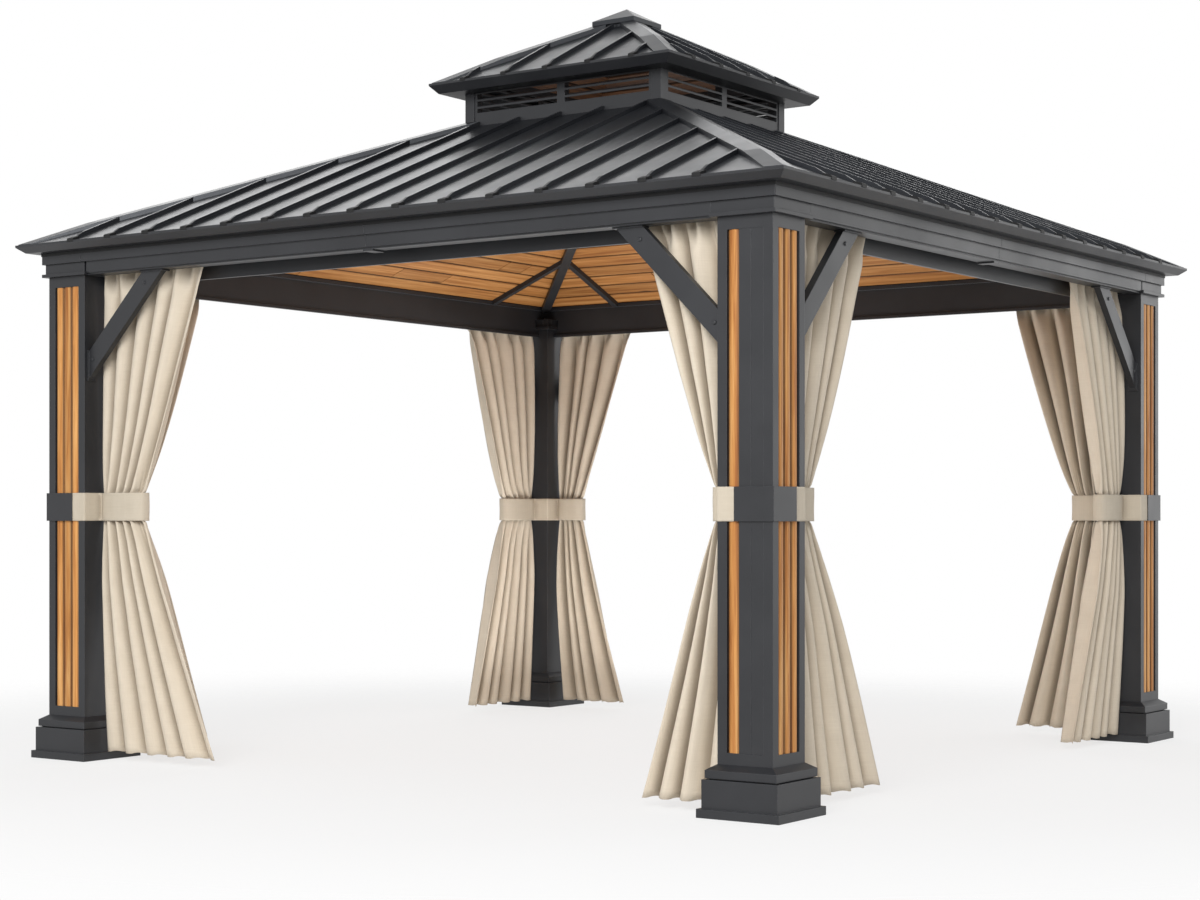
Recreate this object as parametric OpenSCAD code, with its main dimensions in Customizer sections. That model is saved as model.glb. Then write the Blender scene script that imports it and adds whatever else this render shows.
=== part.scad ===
// Square garden gazebo: four clad posts on stepped bases, a two-tier hipped roof with standing
// seams, a louvred cupola between the tiers, a boarded ceiling, knee braces and tied-back curtains.
// Millimetres, +Z up, origin on the ground at the middle of the plan, front face towards -Y.

/* [Overall] */
// width and depth of the square roof across the eave tips
roof_width = 3660; // [3460:10:4260]
// from the outer face of a post out to the eave tip
eave_overhang = 98; // [92:1:130]
// top of the posts, where the capitals sit
post_height = 1993; // [1953:1:2023]

/* [Posts] */
// side of the square post
post_size = 212; // [196:1:230]
// sheet thickness of the hollow post
post_wall = 3; // [2:0.5:5]
// width of the plain edge strip on each side of a recess
stile_width = 36; // [34:1:46]
// depth of the recess that holds the slats
recess_depth = 24; // [20:0.5:26]
// slats side by side in each recess
slat_count = 3; // [2:1:4]
// gap between slats and beside the outer ones
slat_gap = 2; // [1:0.5:5]
// rise of the rounded front of a slat
slat_crown = 7; // [2:0.5:10]
// slat front behind the post face
slat_setback = 2; // [1:0.5:8]
// plain infill behind the post face
infill_setback = 1; // [0.5:0.5:6]
// joint between the lengths of plain infill
infill_joint = 1; // [0.4:0.1:1]
// lower end of the slats above the ground
slat_bottom = 216; // [190:1:400]
// from the post top down to the slats
slat_drop = 44; // [20:1:120]

/* [Bases] */
// foot flange out from the post face
flange_out = 52; // [46:1:58]
// foot flange thickness
flange_height = 30; // [20:1:32]
// plinth out from the post face
plinth_out = 39; // [35:1:44]
// top of the plinth
plinth_top = 127; // [100:1:128]
// shadow groove above the plinth, out from the post face
groove_out = 20; // [12:1:26]
// height of the shadow groove
groove_height = 4; // [3:0.5:8]
// collar out from the post face
collar_out = 31; // [28:1:34]
// straight part of the collar
collar_height = 27; // [20:1:32]
// sloping part of the collar
collar_slope = 19; // [12:1:20]
// clearance between the post and what is slid over it
slide_fit = 0.3; // [0.2:0.05:0.5]

/* [Capitals and beams] */
// capital and lower band out from the post face
band_out = 10; // [8:1:14]
// top of the capital above the post top
capital_height = 53; // [45:1:65]
// lip of the capital out from the post face
lip_out = 21; // [16:1:26]
// height of the lip
lip_height = 13; // [8:1:18]
// beam from the post face inwards
beam_width = 150; // [140:1:160]
// outer box of the beam, from the post face in to the curtain channel
box_width = 70; // [64:1:74]
// inner plate of the beam, on the other side of the curtain channel
valance = 6; // [4:0.5:10]
// foot of the inner plate below the post top
valance_drop = 40; // [30:1:41]
// lip at the foot of the inner plate, inwards
valance_lip = 8; // [4:1:12]
// height of the lip on the inner plate
valance_lip_height = 13; // [8:1:18]
// lower band starts this far above the post top
band_rise = 7; // [4:1:12]
// upper fascia out from the post face
fascia_out = 21; // [17:1:26]
// upper fascia height
fascia_height = 50; // [44:1:58]
// open joint between lengths of band and fascia
seam_gap = 2; // [1:0.5:4]
// splice cover at mid-span, length along the beam
splice_length = 46; // [30:1:80]

/* [Main roof] */
// pitch of the main roof in degrees
roof_pitch = 22.4; // [21.6:0.1:23.2]
// top of the sheet at the eave, above the post top
eave_rise = 132; // [126:1:140]
// sheet thickness
sheet = 6; // [3:0.5:8]
// upright edge of the eave trim in front of the sheet
eave_lip = 9; // [6:1:14]
// sloped face of the eave trim, level run
eave_slant = 30; // [20:1:40]
// eave trim soffit below the fascia top
trim_lap = 3; // [1:0.5:6]
// spacing of the standing seams
rib_pitch = 214; // [200:1:224]
// seams on each side of the middle one
ribs_beside = 7; // [4:1:7]
// width of a seam
rib_width = 12; // [8:1:20]
// height of a seam
rib_height = 16; // [10:1:24]
// falling nose of a seam at the eave, level run
rib_nose = 60; // [40:1:90]
// width of each hip cap wing in plan, square to the hip
hip_wing = 50; // [40:1:70]
// height of the hip caps above the sheet
hip_rise = 18; // [14:1:26]
// falling nose of a hip cap at the eave, level run
hip_nose = 200; // [120:5:260]
// height of a nose at its tip
nose_height = 4; // [2:0.5:6]
// play between mitred ends
mitre_gap = 0.5; // [0.3:0.1:1]

/* [Ceiling and rafters] */
// underside of the ceiling at the beam, above the post top
ceiling_rise = 119; // [112:1:124]
// thickness of the ceiling boards
ceiling_board = 12; // [8:1:18]
// angle trim under the ceiling edge, in from the beam
trim_width = 12; // [8:1:18]
// height of the angle trim
trim_height = 18; // [12:1:24]
// width of a hip rafter
hip_rafter_width = 46; // [36:1:60]
// hip rafter below the ceiling
hip_rafter_drop = 30; // [20:1:34]
// width of a jack rafter
jack_width = 30; // [20:1:40]
// jack rafter below the ceiling
jack_drop = 24; // [12:1:28]
// jack rafters from the middle of a side
jack_offset = 1120; // [900:5:1200]

/* [Knee braces] */
// reach of a brace along the beam and down the post
brace_reach = 426; // [340:2:440]
// width of a brace
brace_width = 78; // [60:1:90]
// thickness of a brace
brace_thickness = 28; // [20:1:30]
// brace behind the post face
brace_setback = 22; // [14:1:24]
// thickness of the end plates
brace_plate = 6; // [4:0.5:8]
// end plate past the brace on each side
brace_margin = 7; // [4:1:8]

/* [Cupola] */
// corner post of the cupola
cupola_post = 47; // [40:1:56]
// thickness of a louvre panel
louvre_depth = 34; // [28:1:38]
// louvre panel behind the cupola face
louvre_setback = 4; // [2:1:6]
// middle post of a louvre panel
louvre_mid = 38; // [30:1:48]
// side stile of a louvre panel
louvre_stile = 14; // [10:1:20]
// curb of the cupola below the ceiling edge
curb_drop = 36; // [35:1:50]
// sill of the louvres above the sheet
sill_rise = 56; // [48:1:60]
// spacing of the louvre blades
blade_pitch = 31; // [29:0.5:34]
// blades in each field
blade_count = 4; // [2:1:4]
// thickness of a blade
blade_thickness = 9; // [5:0.5:11]
// fall of a blade from inside to outside
blade_fall = 14; // [8:1:16]

/* [Upper roof] */
// width across the upper eave tips
upper_width = 1222; // [1190:2:1250]
// from the face of the cupola out to the upper eave tip
upper_overhang = 112; // [100:1:130]
// pitch of the upper roof in degrees
upper_pitch = 26.9; // [26.4:0.1:28]
// top of the upper sheet at its eave, above the main sheet at the cupola
upper_rise = 182; // [174:1:190]
// height of the upper eave face
upper_face = 42; // [38:1:54]
// depth of the upper eave block
upper_block = 40; // [36:1:46]
// thickness of the upper soffit
upper_soffit = 6; // [4:0.5:10]
// thickness of the upper ceiling
upper_board = 10; // [6:1:12]
// seams on each side of the middle one
upper_ribs_beside = 2; // [1:1:2]
// width of the finial cap
finial_width = 216; // [196:2:240]
// rim of the finial cap above the sheet
finial_lift = 21; // [16:0.5:30]
// height of the rim
finial_rim = 19; // [12:1:26]
// neck of the finial cap behind the rim
finial_setback = 14; // [8:1:24]
// rise of the finial pyramid
finial_rise = 61; // [40:1:80]

/* [Curtains] */
// width of the curtain rail
rail_width = 34; // [26:1:38]
// height of the curtain rail, up in the channel of the beam
rail_height = 12; // [8:1:20]
// clearance between a curtain and the channel or the capital beside it
channel_play = 5; // [3:0.5:8]
// hem above the ground
hem_height = 34; // [33:1:60]
// lower edge of the tie bands
tie_bottom = 983; // [850:1:1100]
// height of the tie bands
tie_height = 115; // [80:1:140]
// thickness of the tie bands
tie_thickness = 3; // [2:0.5:4]
// leg of a tie plate on each post face
plate_leg = 152; // [120:1:170]
// thickness of a tie plate
plate_thickness = 4; // [3:0.5:6]
// first fold from the post side
curtain_start = 8; // [6:1:14]
// depth of a curtain at the tie
curtain_depth_tie = 74; // [64:1:80]
// depth of a curtain at the hem
curtain_depth_hem = 120; // [100:1:150]
// how soon a curtain widens away from its tie, 1 for an even taper
width_bend = 0.93; // [0.8:0.01:1]
// how soon a curtain deepens away from its tie, 1 for an even taper
depth_bend = 0.9; // [0.8:0.01:1]
// how late the near edge moves out past the base or the capital
edge_bend = 1.6; // [1.4:0.1:1.8]
// front curtain on the right post: width at rail, tie, hem
front_of_right = [330, 60, 290]; // [50:10:900]
// right curtain on the front post: width at rail, tie, hem
right_of_front = [590, 210, 600]; // [50:10:900]
// right curtain on the back post: width at rail, tie, hem
right_of_back = [540, 220, 520]; // [50:10:900]
// back curtain on the right post: width at rail, tie, hem
back_of_right = [420, 140, 400]; // [50:10:900]
// back curtain on the left post: width at rail, tie, hem
back_of_left = [460, 150, 420]; // [50:10:900]
// left curtain on the back post: width at rail, tie, hem
left_of_back = [570, 250, 530]; // [50:10:900]
// left curtain on the front post: width at rail, tie, hem
left_of_front = [540, 220, 500]; // [50:10:900]
// front curtain on the left post: width at rail, tie, hem
front_of_left = [580, 240, 610]; // [50:10:900]
// points round a curtain section
fold_points = 40; // [24:8:48]
// folds round a curtain section
fold_count = 10; // [6:1:10]
// depth of the folds as a share of the section
fold_share = 0.07; // [0:0.01:0.1]
// levels from tie to rail, and from tie to hem
fold_levels = 5; // [3:1:6]

/* [Hidden] */
$fn = 64;
metal = "#4a4c50";
roofing = "#5b6068";
timber = "#b97d46";
lining = "#b2783f";
cloth = "#cdc1aa";
half = roof_width / 2;
post_face = half - eave_overhang;
post_inner = post_face - post_size;
beam_inner = post_face - beam_width;
box_inner = post_face - box_width;
channel = beam_width - valance - box_width;
valance_foot = post_height - valance_drop;
beam_reach = post_inner - lip_out - slide_fit;
trim_inner = beam_inner - trim_width;
capital_top = post_height + capital_height;
fascia_top = capital_top + fascia_height;
sheet_edge = half - eave_lip;
eave_height = post_height + eave_rise;
slat_top = post_height - slat_drop;
recess = post_size - 2 * stile_width;
slat_width = (recess - (slat_count + 1) * slat_gap) / slat_count;
slat_radius = (slat_width * slat_width / 4 + slat_crown * slat_crown) / (2 * slat_crown);
sheet_v = sheet / cos(roof_pitch);
rib_v = rib_height / cos(roof_pitch);
hip_v = hip_rise / cos(roof_pitch);
board_v = ceiling_board / cos(roof_pitch);
cupola_width = upper_width - 2 * upper_overhang;
cupola = cupola_width / 2;
ceiling_edge = post_height + ceiling_rise;
curb_bottom = ceiling_z(cupola) - curb_drop;
sill_top = roof_z(cupola) + sill_rise;
upper_half = upper_width / 2;
upper_edge = upper_half - eave_lip;
upper_eave = roof_z(cupola) + upper_rise;
upper_sheet_v = sheet / cos(upper_pitch);
upper_board_v = upper_board / cos(upper_pitch);
upper_rib_v = rib_height / cos(upper_pitch);
upper_hip_v = hip_rise / cos(upper_pitch);
upper_inner = upper_half - upper_block;
soffit_z = upper_eave - upper_face;
finial_half = finial_width / 2;
finial_neck = finial_half - finial_setback;
rim_bottom = upper_z(finial_half) + finial_lift;
rim_top = rim_bottom + finial_rim;
head_bottom = sill_top + (blade_count + 0.5) * blade_pitch;
rail_middle = box_width + channel / 2;
rail_bottom = capital_top - rail_height;
curtain_depth_top = channel - 2 * channel_play;
head_shift = lip_out + channel_play - curtain_start;
tie_front = rail_middle - curtain_depth_tie / 2;
tie_back = rail_middle + curtain_depth_tie / 2;
tie_top = tie_bottom + tie_height;
brace_cut = brace_width * sqrt(2);
curtains_a = [front_of_right, right_of_back, back_of_left, left_of_front];
curtains_b = [right_of_front, back_of_right, left_of_back, front_of_left];

// top of the main sheet at a distance from the middle
function roof_z(h) = eave_height + tan(roof_pitch) * (sheet_edge - h);
// underside of the main ceiling
function ceiling_z(h) = ceiling_edge + tan(roof_pitch) * (beam_inner - h);
// top of the upper sheet
function upper_z(h) = upper_eave + tan(upper_pitch) * (upper_edge - h);
// a profile given as distance out and height, turned to face the front
function facing(points) = [for (p = points) [-p[0], p[1]]];

// a profile drawn along one side, centred on it
module side_run(length, points) {
    rotate([90, 0, 90])
        translate([0, 0, -length / 2])
            linear_extrude(height = length)
                polygon(facing(points));
}

// part of a run, from one distance to another on one side of the middle
module half_run(s, from, to, points) {
    translate([s * (from + to) / 2, 0, 0])
        side_run(to - from, points);
}

// the same on both sides of the middle
module split_run(from, to, points) {
    for (s = [-1, 1])
        half_run(s, from, to, points);
}

// plan area of the front slope, kept back from the hips
module slope_mask(inset) {
    far = roof_width;
    tip = inset * sqrt(2);
    linear_extrude(height = far * 2)
        polygon([[0, -tip], [far, -far - tip], [-far, -far - tip]]);
}

// one corner of the plan: x along the first side, y along the second, from the post's outer corner
module at_corner(k) {
    rotate([0, 0, 90 * k])
        translate([post_face, -post_face, 0])
            mirror([1, 0, 0])
                children();
}

// the same on either side of the corner's diagonal
module either_side(f) {
    if (f == 0)
        children();
    else
        mirror([1, -1, 0])
            children();
}

// outline of the post with its two recesses, drawn in by a distance
function post_outline(i) = [
    [i, i], [stile_width - i, i],
    [stile_width - i, recess_depth + i], [post_size - stile_width + i, recess_depth + i],
    [post_size - stile_width + i, i], [post_size - i, i],
    [post_size - i, post_size - i], [i, post_size - i],
    [i, post_size - stile_width + i], [recess_depth + i, post_size - stile_width + i],
    [recess_depth + i, stile_width - i], [i, stile_width - i]
];

module post(k) {
    color(metal)
        at_corner(k) {
            linear_extrude(height = post_height)
                difference() {
                    polygon(post_outline(0));
                    polygon(post_outline(post_wall));
                }
            for (f = [0, 1])
                either_side(f)
                    translate([stile_width, 0, 0]) {
                        cube([recess, recess_depth, slat_bottom]);
                        translate([0, 0, slat_top])
                            cube([recess, recess_depth, slat_drop]);
                    }
        }
}

module slat_section() {
    intersection() {
        translate([0, slat_setback])
            square([slat_width, recess_depth - slat_setback]);
        translate([slat_width / 2, slat_setback + slat_radius])
            circle(r = slat_radius);
    }
}

// where slat i of a recess stands, counted from the outer corner
module slat_place(k, f, i) {
    at_corner(k)
        either_side(f)
            translate([stile_width + slat_gap + i * (slat_width + slat_gap), 0, slat_bottom])
                linear_extrude(height = slat_top - slat_bottom)
                    children();
}

// the front of the front right post has one timber slat, beside the opening
function is_timber(k, f, i) = k > 0 || f > 0 || i == slat_count - 1;

module post_slats() {
    color(timber)
        for (k = [0 : 3], f = [0, 1], i = [0 : slat_count - 1])
            if (is_timber(k, f, i))
                slat_place(k, f, i)
                    slat_section();
}

// the infill closes up to the edge strip, and leaves a fine joint between its lengths
module post_infill() {
    grow = (slat_gap - infill_joint) / 2;
    color(metal)
        for (i = [0 : slat_count - 2]) {
            from = i == 0 ? slat_gap - slide_fit : grow;
            slat_place(0, 0, i)
                translate([-from, infill_setback])
                    square([from + slat_width + grow, recess_depth - infill_setback]);
        }
}

// square block centred on the post, larger than it by a distance on each side
module post_block(out, from, to) {
    translate([-out, -out, from])
        cube([post_size + 2 * out, post_size + 2 * out, to - from]);
}

// upright profile of the sloping collar, drawn through the post from side to side
module collar_run() {
    from = plinth_top + groove_height;
    straight = from + collar_height;
    rotate([90, 0, 0])
        translate([0, 0, -post_size - collar_out])
            linear_extrude(height = post_size + 2 * collar_out)
                polygon([
                    [-collar_out, from], [post_size + collar_out, from],
                    [post_size + collar_out, straight],
                    [post_size + slide_fit, straight + collar_slope],
                    [-slide_fit, straight + collar_slope], [-collar_out, straight]
                ]);
}

module base(k) {
    color(metal)
        at_corner(k)
            difference() {
                union() {
                    post_block(flange_out, 0, flange_height);
                    post_block(plinth_out, flange_height, plinth_top);
                    post_block(groove_out, plinth_top, plinth_top + groove_height);
                    intersection() {
                        collar_run();
                        mirror([1, -1, 0])
                            collar_run();
                    }
                }
                post_block(slide_fit, -1, post_height);
            }
}

// the front right capital closes up to the bands on either side of it
function capital_inside(k) = k == 0 ? lip_out : band_out;

module post_capitals() {
    color(metal)
        for (k = [0 : 3])
            at_corner(k) {
                side = band_out + post_size + capital_inside(k);
                post_block(lip_out, post_height, post_height + lip_height);
                translate([-band_out, -band_out, post_height])
                    cube([side, side, capital_height]);
            }
}

// the fascia runs past the front right post in one length on either side
function is_whole(k, s) = (k == 0 && s > 0) || (k == 1 && s < 0);

module beam(k) {
    color(metal)
        rotate([0, 0, 90 * k]) {
            side_run(2 * beam_reach, [
                [box_inner, post_height], [post_face, post_height],
                [post_face, capital_top], [box_inner, capital_top]
            ]);
            side_run(2 * beam_reach, [
                [beam_inner, post_height], [beam_inner + valance, post_height],
                [beam_inner + valance, capital_top], [beam_inner, capital_top]
            ]);
            side_run(2 * post_inner, [
                [beam_inner - valance_lip, valance_foot], [beam_inner + valance, valance_foot],
                [beam_inner + valance, post_height], [beam_inner, post_height],
                [beam_inner, valance_foot + valance_lip_height],
                [beam_inner - valance_lip, valance_foot + valance_lip_height]
            ]);
            intersection() {
                side_run(roof_width, [
                    [beam_inner, ceiling_edge - trim_height], [beam_inner, ceiling_edge],
                    [trim_inner, ceiling_edge], [trim_inner, ceiling_edge - trim_height]
                ]);
                slope_mask((hip_rafter_width + mitre_gap) / 2);
            }
            intersection() {
                side_run(roof_width, [
                    [beam_inner, capital_top], [post_face, capital_top],
                    [post_face, roof_z(post_face) - sheet_v],
                    [beam_inner, roof_z(beam_inner) - sheet_v]
                ]);
                slope_mask(mitre_gap / 2);
            }
            split_run(seam_gap / 2, beam_reach, [
                [post_face, post_height + band_rise], [post_face + band_out, post_height + band_rise],
                [post_face + band_out, capital_top], [post_face, capital_top]
            ]);
            intersection() {
                for (s = [-1, 1]) {
                    half_run(s, seam_gap / 2, is_whole(k, s) ? half : post_inner, fascia_profile());
                    half_run(s, post_inner + (is_whole(k, s) ? 0 : seam_gap), half, fascia_profile());
                }
                slope_mask(mitre_gap / 2);
            }
            side_run(splice_length, [
                [box_inner, post_height - band_rise], [post_face, post_height - band_rise],
                [post_face, post_height], [box_inner, post_height]
            ]);
        }
}

function fascia_profile() = [
    [post_face, capital_top], [post_face + fascia_out, capital_top],
    [post_face + fascia_out, fascia_top], [post_face, fascia_top]
];

module knee_braces() {
    low = post_height - brace_reach;
    depth = brace_thickness + 2 * brace_margin;
    color(metal)
        for (k = [0 : 3], f = [0, 1])
            at_corner(k)
                either_side(f) {
                    translate([post_size, brace_setback + brace_thickness, 0])
                        rotate([90, 0, 0])
                            linear_extrude(height = brace_thickness)
                                polygon([
                                    [0, low], [brace_reach, post_height],
                                    [brace_reach - brace_cut, post_height], [0, low + brace_cut]
                                ]);
                    translate([post_size, brace_setback - brace_margin, low - brace_margin])
                        cube([brace_plate, depth, brace_cut + 2 * brace_margin]);
                    translate([
                        post_size + brace_reach - brace_cut - brace_margin,
                        brace_setback - brace_margin, post_height - brace_plate
                    ])
                        cube([brace_cut + 2 * brace_margin, depth, brace_plate]);
                }
}

module eave_trim() {
    low = fascia_top - trim_lap;
    edge = roof_z(sheet_edge);
    foot = edge - eave_lip;
    color(metal)
        for (k = [0 : 3])
            rotate([0, 0, 90 * k])
                intersection() {
                    side_run(roof_width + eave_lip, [
                        [post_face + fascia_out, low], [half - eave_slant, low],
                        [half, foot], [half, edge], [sheet_edge, edge],
                        [sheet_edge, edge - sheet_v], [post_face, roof_z(post_face) - sheet_v],
                        [post_face, fascia_top], [post_face + fascia_out, fascia_top]
                    ]);
                    slope_mask(mitre_gap / 2);
                }
}

// a flat slope between two distances from the middle, from under to over the given surface heights
module main_slab(length, from, to, under, over) {
    side_run(length, [
        [to, roof_z(to) - under], [to, roof_z(to) + over],
        [from, roof_z(from) + over], [from, roof_z(from) - under]
    ]);
}

module upper_slab(length, from, to, under, over) {
    side_run(length, [
        [to, upper_z(to) - under], [to, upper_z(to) + over],
        [from, upper_z(from) + over], [from, upper_z(from) - under]
    ]);
}

// a seam or hip cap on the main roof, with a nose that falls to the eave
module main_ridge(length, from, to, under, over, nose) {
    side_run(length, [
        [to, roof_z(to) - under], [to, roof_z(to) + nose_height],
        [to - nose, roof_z(to - nose) + over],
        [from, roof_z(from) + over], [from, roof_z(from) - under]
    ]);
}

module upper_ridge(length, from, to, under, over, nose) {
    side_run(length, [
        [to, upper_z(to) - under], [to, upper_z(to) + nose_height],
        [to - nose, upper_z(to - nose) + over],
        [from, upper_z(from) + over], [from, upper_z(from) - under]
    ]);
}

module roof_slope(k) {
    color(roofing)
        rotate([0, 0, 90 * k]) {
            intersection() {
                main_slab(roof_width, cupola, sheet_edge, sheet_v, 0);
                slope_mask(mitre_gap / 2);
            }
            intersection() {
                for (i = [-ribs_beside : ribs_beside])
                    translate([i * rib_pitch, 0, 0])
                        main_ridge(rib_width, cupola, sheet_edge, sheet_v, rib_v, rib_nose);
                slope_mask(hip_wing + mitre_gap);
            }
        }
}

// plan strip beside the front right hip, on its front slope
module hip_strip(from, to) {
    wide = hip_wing * sqrt(2);
    linear_extrude(height = roof_width * 2)
        polygon([[from, -from], [to, -to], [to - wide, -to], [from - wide, -from]]);
}

module hip_caps() {
    color(roofing)
        for (k = [0 : 3], f = [0, 1])
            rotate([0, 0, 90 * k])
                mirror([f, f, 0])
                    intersection() {
                        main_ridge(roof_width, cupola, sheet_edge, 0, hip_v, hip_nose);
                        hip_strip(cupola, sheet_edge);
                    }
}

module ceiling_slope(k) {
    color(lining)
        rotate([0, 0, 90 * k])
            intersection() {
                side_run(roof_width, [
                    [beam_inner, ceiling_z(beam_inner)], [cupola, ceiling_z(cupola)],
                    [cupola, ceiling_z(cupola) + board_v],
                    [beam_inner, ceiling_z(beam_inner) + board_v]
                ]);
                slope_mask((hip_rafter_width + mitre_gap) / 2);
            }
}

// square column over the whole plan
module plan_square(reach) {
    translate([-reach, -reach, 0])
        cube([2 * reach, 2 * reach, roof_width * 2]);
}

module hip_rafters() {
    edge_fall = hip_rafter_width / 2 / sqrt(2) * tan(roof_pitch);
    under = sheet_v + edge_fall;
    low = beam_inner + hip_rafter_width;
    high = cupola - hip_rafter_width;
    color(metal)
        for (k = [0 : 3])
            difference() {
                intersection() {
                    rotate([0, 0, 90 * k + 45])
                        side_run(hip_rafter_width, [
                            [low * sqrt(2), ceiling_z(low) - hip_rafter_drop],
                            [low * sqrt(2), roof_z(low) - under],
                            [high * sqrt(2), roof_z(high) - under],
                            [high * sqrt(2), ceiling_z(high) - hip_rafter_drop]
                        ]);
                    plan_square(beam_inner);
                }
                plan_square(cupola);
            }
}

module jack_rafters() {
    color(metal)
        for (k = [0 : 3])
            rotate([0, 0, 90 * k])
                intersection() {
                    for (s = [-1, 1])
                        translate([s * jack_offset, 0, 0])
                            side_run(jack_width, [
                                [trim_inner, ceiling_z(trim_inner) - jack_drop],
                                [trim_inner, ceiling_z(trim_inner)],
                                [cupola, ceiling_z(cupola)],
                                [cupola, ceiling_z(cupola) - jack_drop]
                            ]);
                    slope_mask((hip_rafter_width + mitre_gap) / 2);
                }
}

module cupola_posts() {
    top = upper_z(cupola) - upper_sheet_v - upper_board_v;
    color(metal)
        for (k = [0 : 3])
            rotate([0, 0, 90 * k])
                translate([cupola - cupola_post, -cupola, curb_bottom])
                    cube([cupola_post, cupola_post, top - curb_bottom]);
}

module louvre(k) {
    front = cupola - louvre_setback;
    rear = front - louvre_depth;
    wide = cupola - cupola_post;
    under = upper_sheet_v + upper_board_v;
    full = [
        [front, curb_bottom], [front, upper_z(front) - under],
        [rear, upper_z(rear) - under], [rear, curb_bottom]
    ];
    color(metal)
        rotate([0, 0, 90 * k]) {
            side_run(2 * wide, [
                [front, curb_bottom], [front, sill_top], [rear, sill_top], [rear, curb_bottom]
            ]);
            side_run(2 * wide, [
                [front, head_bottom], [front, upper_z(front) - under],
                [rear, upper_z(rear) - under], [rear, head_bottom]
            ]);
            side_run(louvre_mid, full);
            split_run(wide - louvre_stile, wide, full);
            for (i = [1 : blade_count])
                side_run(2 * wide, [
                    [front, sill_top + i * blade_pitch - blade_fall],
                    [front, sill_top + i * blade_pitch - blade_fall + blade_thickness],
                    [rear, sill_top + i * blade_pitch + blade_thickness],
                    [rear, sill_top + i * blade_pitch]
                ]);
        }
}

module upper_roof() {
    color(roofing)
        for (k = [0 : 3])
            rotate([0, 0, 90 * k]) {
                intersection() {
                    upper_slab(upper_width, 0, upper_edge, upper_sheet_v, 0);
                    slope_mask(mitre_gap / 2);
                }
                intersection() {
                    for (i = [-upper_ribs_beside : upper_ribs_beside])
                        translate([i * rib_pitch, 0, 0])
                            upper_ridge(
                                rib_width, finial_half, upper_edge, upper_sheet_v, upper_rib_v, rib_nose
                            );
                    slope_mask(hip_wing + mitre_gap);
                }
            }
}

module upper_hip_caps() {
    color(roofing)
        for (k = [0 : 3], f = [0, 1])
            rotate([0, 0, 90 * k])
                mirror([f, f, 0])
                    intersection() {
                        upper_ridge(upper_width, finial_half, upper_edge, 0, upper_hip_v, hip_nose);
                        hip_strip(finial_half, upper_edge);
                    }
}

module upper_eave_trim() {
    edge = upper_z(upper_edge);
    color(metal)
        for (k = [0 : 3])
            rotate([0, 0, 90 * k])
                intersection() {
                    side_run(upper_width + eave_lip, [
                        [cupola, soffit_z], [upper_half - eave_slant, soffit_z],
                        [upper_half, edge - eave_lip], [upper_half, edge], [upper_edge, edge],
                        [upper_edge, edge - upper_sheet_v],
                        [upper_inner, upper_z(upper_inner) - upper_sheet_v],
                        [upper_inner, soffit_z + upper_soffit], [cupola, soffit_z + upper_soffit]
                    ]);
                    slope_mask(mitre_gap / 2);
                }
}

module upper_ceiling() {
    under = upper_sheet_v + upper_board_v;
    color(lining)
        for (k = [0 : 3])
            rotate([0, 0, 90 * k])
                intersection() {
                    upper_slab(upper_width, 0, upper_inner, under, -upper_sheet_v);
                    slope_mask(mitre_gap / 2);
                }
}

module finial_cap() {
    color(metal)
        for (k = [0 : 3])
            rotate([0, 0, 90 * k])
                intersection() {
                    side_run(finial_width, [
                        [0, upper_z(0)], [finial_neck, upper_z(finial_neck)], [finial_neck, rim_bottom],
                        [finial_half, rim_bottom], [finial_half, rim_top], [0, rim_top + finial_rise]
                    ]);
                    slope_mask(0);
                }
}

module curtain_rails() {
    color(metal)
        for (k = [0 : 3])
            rotate([0, 0, 90 * k])
                translate([0, rail_middle - post_face, 0])
                    side_run(2 * beam_reach, [
                        [rail_width / 2, rail_bottom], [rail_width / 2, capital_top],
                        [-rail_width / 2, capital_top], [-rail_width / 2, rail_bottom]
                    ]);
}

// heights of the curtain sections, from the hem up to the rail
function curtain_levels() = concat(
    [for (i = [0 : fold_levels]) hem_height + (tie_bottom - hem_height) * i / fold_levels],
    [for (i = [0 : fold_levels]) tie_top + (rail_bottom - tie_top) * i / fold_levels]
);
// share of the way from the tie to the hem or the rail
function away(z) = z < tie_bottom ? (tie_bottom - z) / (tie_bottom - hem_height)
    : max(0, (z - tie_top) / (rail_bottom - tie_top));
// a size that runs from its value at the tie to its value at the end
function spread(z, tie, rail, hem, bend) = tie + ((z < tie_bottom ? hem : rail) - tie) * pow(away(z), bend);
// the near edge moves out past the base towards the hem, and past the capital towards the rail
function near_edge(z) = post_size + curtain_start
    + (z < tie_bottom ? flange_out : head_shift) * pow(away(z), edge_bend);
// a point beside the front right post, from distances along and square to the side it hangs on
function hung_point(f, along, across) = f == 0 ? [post_face - along, across - post_face]
    : [post_face - across, along - post_face];
function fold_ring(z, f, size) = let (
    long = spread(z, size[1], size[0], size[2], width_bend) / 2,
    deep = spread(z, curtain_depth_tie, curtain_depth_top, curtain_depth_hem, depth_bend) / 2,
    way = f == 0 ? -360 : 360
) [
    for (j = [0 : fold_points - 1])
        let (
            turn = way * j / fold_points,
            fold = 1 - fold_share * (1 - cos(turn * fold_count)) / 2,
            along = near_edge(z) + long + long * fold * cos(turn),
            across = rail_middle + deep * fold * sin(turn)
        )
        concat(hung_point(f, along, across), z)
];

module curtain(f, size) {
    levels = curtain_levels();
    top = len(levels) - 1;
    n = fold_points;
    polyhedron(
        points = [for (z = levels) each fold_ring(z, f, size)],
        faces = concat(
            [[for (j = [0 : n - 1]) j]],
            [[for (j = [n - 1 : -1 : 0]) top * n + j]],
            [for (i = [0 : top - 1], j = [0 : n - 1])
                [i * n + j, (i + 1) * n + j, (i + 1) * n + (j + 1) % n, i * n + (j + 1) % n]]
        )
    );
}

module curtains(k) {
    color(cloth)
        rotate([0, 0, 90 * k]) {
            curtain(0, curtains_a[k]);
            curtain(1, curtains_b[k]);
        }
}

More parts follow.
